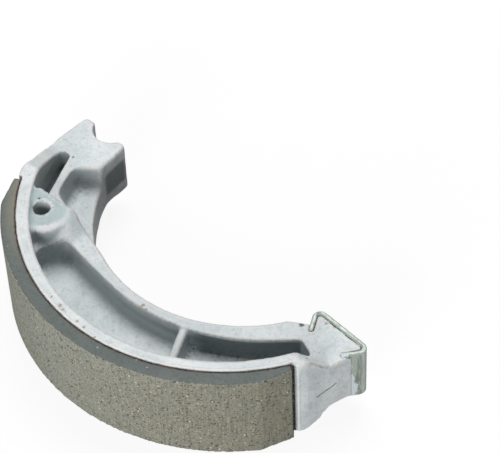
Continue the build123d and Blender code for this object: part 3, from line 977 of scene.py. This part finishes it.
cap = {
    "voxel": 0.22,               # mm, mesh pitch of the rounded cap
    "smoothing": 3,
    # corners of the sheet's middle line, mm, from the tip of the outer leg to the tip of the inner leg
    "line": ((16.0139, 52.1195), (10.1645, 56.6568), (8.5742, 37.7178), (15.0983, 41.216)),
    "topRange": (7.9, 8.2),      # mm from the middle of the shoe's width, where the sheet's cut edge begins

    # the casting's flash on the outer leg: where the block's flat side ends and the way to the cap's corner,
    # heights between which its border leans from the first place to the second, and where the leg begins
    "flashStart": (14.1477, 54.4959, 0.0),
    "legDirection": (-0.7992, 0.6011, 0.0),
    "flashHeights": (9, 22),
    "flashLean": (0.9, -1.3),
    "flashFray": {"reach": 2.6, "middle": 0.72, "broad": (420, 2, 0.5), "fine": (1700, 2, 0.6),
                  "share": 0.45},
    "flashBlur": (-0.05, 0.10),
    "legStart": (51, 51.5),

    "noises": {"cloud": (150, 3, 0.6), "fine": (1500, 2, 0.6)},
    "streaks": {"squash": (1, 1, 0.16), "noise": (560, 4, 0.7)},
    "bend": {"at": (10.6, 56.6, 0.0), "radius": 2.3},          # painted highlight on the outer bend
    # centres and radii in mm
    "rustSpots": (
        (10.1, 57.2, 19.6, 0.8), (10.0, 57.3, 17.2, 0.7), (9.6, 57.0, 15.0, 0.6), (9.9, 52.1, 22.4, 0.5),
    ),
    "shares": {"streak": 0.75, "cloud": 0.5, "core": 0.8, "skin": 0.5, "rubAndHighlight": 0.5, "rust": 0.6, "bend": 0.6},
    # ranges of the noises and attributes that make up each mask, mm from the sheet's middle for core and skin
    "ranges": {"streak": (0.46, 0.62), "cloud": (0.48, 0.72), "core": (0.42, 0.22), "skin": (0.30, 0.5),
               "skinBreak": (0.40, 0.6), "edge": (0.01, 0.04), "rubAndHighlight": (0.35, 0.6), "rust": (0.4, 0.6)},
    "coreFray": 0.25,            # mm
    "edgePasses": 3,
    "metallic": (0.55, 0.35),    # of the sheet, and how much less on the flash
    "roughness": (-0.7, 1.2),
    # weights of what makes up the relief, and its depth in mm
    "relief": {"fine": 0.5, "flash": 1.6, "strength": 0.5, "depth": 0.10},

    "colour": (0.36, 0.40, 0.36),
    "streakColour": (0.15, 0.165, 0.145),
    "brightColour": (0.56, 0.63, 0.585),
    "rustColour": (0.36, 0.17, 0.12),
}


def flashGroup():
    # which part of the cap's outer leg the casting covers: a ragged border that leans with height
    group, given, made = startGroup("flashEdge", ["Vector"])
    at = given.outputs["Vector"]
    away = vectorMath(group, "SUBTRACT", at, shaded(cap["flashStart"], mm)).outputs["Vector"]
    reach = vectorMath(group, "DOT_PRODUCT", away, cap["legDirection"]).outputs["Value"]
    along, height = splitPoint(group, at)[1:]
    lean = group.nodes.new("ShaderNodeMapRange")
    labels = ("From Min", "From Max", "To Min", "To Max")
    for label, value in zip(labels, (*cap["flashHeights"], *cap["flashLean"])):
        lean.inputs[label].default_value = value * mm
    group.links.new(height, lean.inputs["Value"])
    fray = cap["flashFray"]
    finer = mathNode(group, "MULTIPLY", noiseNode(group, *fray["fine"], at), fray["share"])
    rag = mathNode(group, "ADD", noiseNode(group, *fray["broad"], at), finer)
    rag = swing(group, rag, fray["reach"] * mm, fray["middle"])
    border = mathNode(group, "ADD", lean.outputs["Result"], rag)
    low, high = (place * mm for place in cap["flashBlur"])
    covered = rampNode(group, mathNode(group, "SUBTRACT", border, reach), low, high)
    low, high = (place * mm for place in cap["legStart"])
    covered = mathNode(group, "MULTIPLY", covered, rampNode(group, along, low, high))
    group.links.new(covered, made.inputs["Mask"])
    return group


def capShape():
    item = roundedCopy("cam_wear_cap", "wearCap", cap)
    points = arrayOf(item.data, "co", 3) / mm
    line = np.array(cap["line"])
    gap = awayFromLine(points[:, :2], line[:-1], np.diff(line, axis=0))
    setAttribute(item.data, "sheet", gap)        # mm from the middle of the sheet
    edges = arrayOf(item.data, "vertices", 2, np.int32)
    normals = arrayOf(item.data, "normal", 3)
    setAttribute(item.data, "edge", bulge(points * mm, normals, edges, cap["edgePasses"]))
    return item


def capMaterial():
    material, tree, shader = startMaterial("zincPlate")
    at = objectPoint(tree)
    noises = noiseSet(tree, at, cap["noises"])
    fine = noises["fine"]
    shares, ranges, relief = cap["shares"], cap["ranges"], cap["relief"]
    streak = noiseNode(tree, *cap["streaks"]["noise"], scaledPoint(tree, at, cap["streaks"]["squash"]))
    streaks = rampNode(tree, streak, *ranges["streak"])
    colour = painted(tree, cap["colour"], streaks, shares["streak"], cap["streakColour"])
    cloudy = rampNode(tree, noises["cloud"], *ranges["cloud"])
    colour = painted(tree, colour, cloudy, shares["cloud"], cap["brightColour"])
    # the cut edge has a bright core between dull skins
    low, high = (place * mm for place in cap["topRange"])
    top = rampNode(tree, heightFromMiddle(tree, at, casting["width"]), low, high)
    sheet = attribute(tree, "sheet")
    core = mathNode(tree, "ADD", sheet, mathNode(tree, "MULTIPLY", fine, cap["coreFray"]))
    core = mathNode(tree, "MULTIPLY", top, rampNode(tree, core, *ranges["core"]))
    colour = painted(tree, colour, core, shares["core"], cap["brightColour"])
    skin = mathNode(tree, "MULTIPLY", rampNode(tree, sheet, *ranges["skin"]),
                    rampNode(tree, fine, *ranges["skinBreak"]))
    skin = mathNode(tree, "MULTIPLY", top, skin)
    colour = painted(tree, colour, skin, shares["skin"], cap["streakColour"])
    # edges rubbed bright, with painted highlight
    raised = rampNode(tree, attribute(tree, "edge"), *ranges["edge"])
    rubAndHighlight = mathNode(tree, "MULTIPLY", raised, rampNode(tree, fine, *ranges["rubAndHighlight"]))
    colour = painted(tree, colour, rubAndHighlight, shares["rubAndHighlight"], cap["brightColour"])
    rust = marksMask(tree, at, cap["rustSpots"])
    rust = mathNode(tree, "MULTIPLY", rust, rampNode(tree, fine, *ranges["rust"]))
    colour = painted(tree, colour, rust, shares["rust"], cap["rustColour"])
    # painted highlight on the outer bend, a vertical band
    bend = useGroup(tree, spot, Vector=flatPoint(tree, at), Centre=shaded(cap["bend"]["at"], mm),
                    Radius=cap["bend"]["radius"] * mm)
    colour = painted(tree, colour, bend, shares["bend"], cap["brightColour"])
    covered = useGroup(tree, flashGroup(), Vector=at)
    colour = mixColour(tree, covered, colour, casting["colour"])
    tree.links.new(colour, shader.inputs["Base Color"])
    sheetMetal, lessMetal = cap["metallic"]
    metal = mathNode(tree, "SUBTRACT", sheetMetal, mathNode(tree, "MULTIPLY", covered, lessMetal))
    tree.links.new(metal, shader.inputs["Metallic"])
    tree.links.new(rampNode(tree, streak, *cap["roughness"], False), shader.inputs["Roughness"])
    height = mathNode(tree, "MULTIPLY", fine, relief["fine"])
    height = mathNode(tree, "ADD", height, mathNode(tree, "MULTIPLY", covered, relief["flash"]))
    tree.links.new(bumpNode(tree, height, relief["strength"], relief["depth"] * mm), shader.inputs["Normal"])
    return material


finishPiece(capShape(), capMaterial(), "cam_wear_cap")
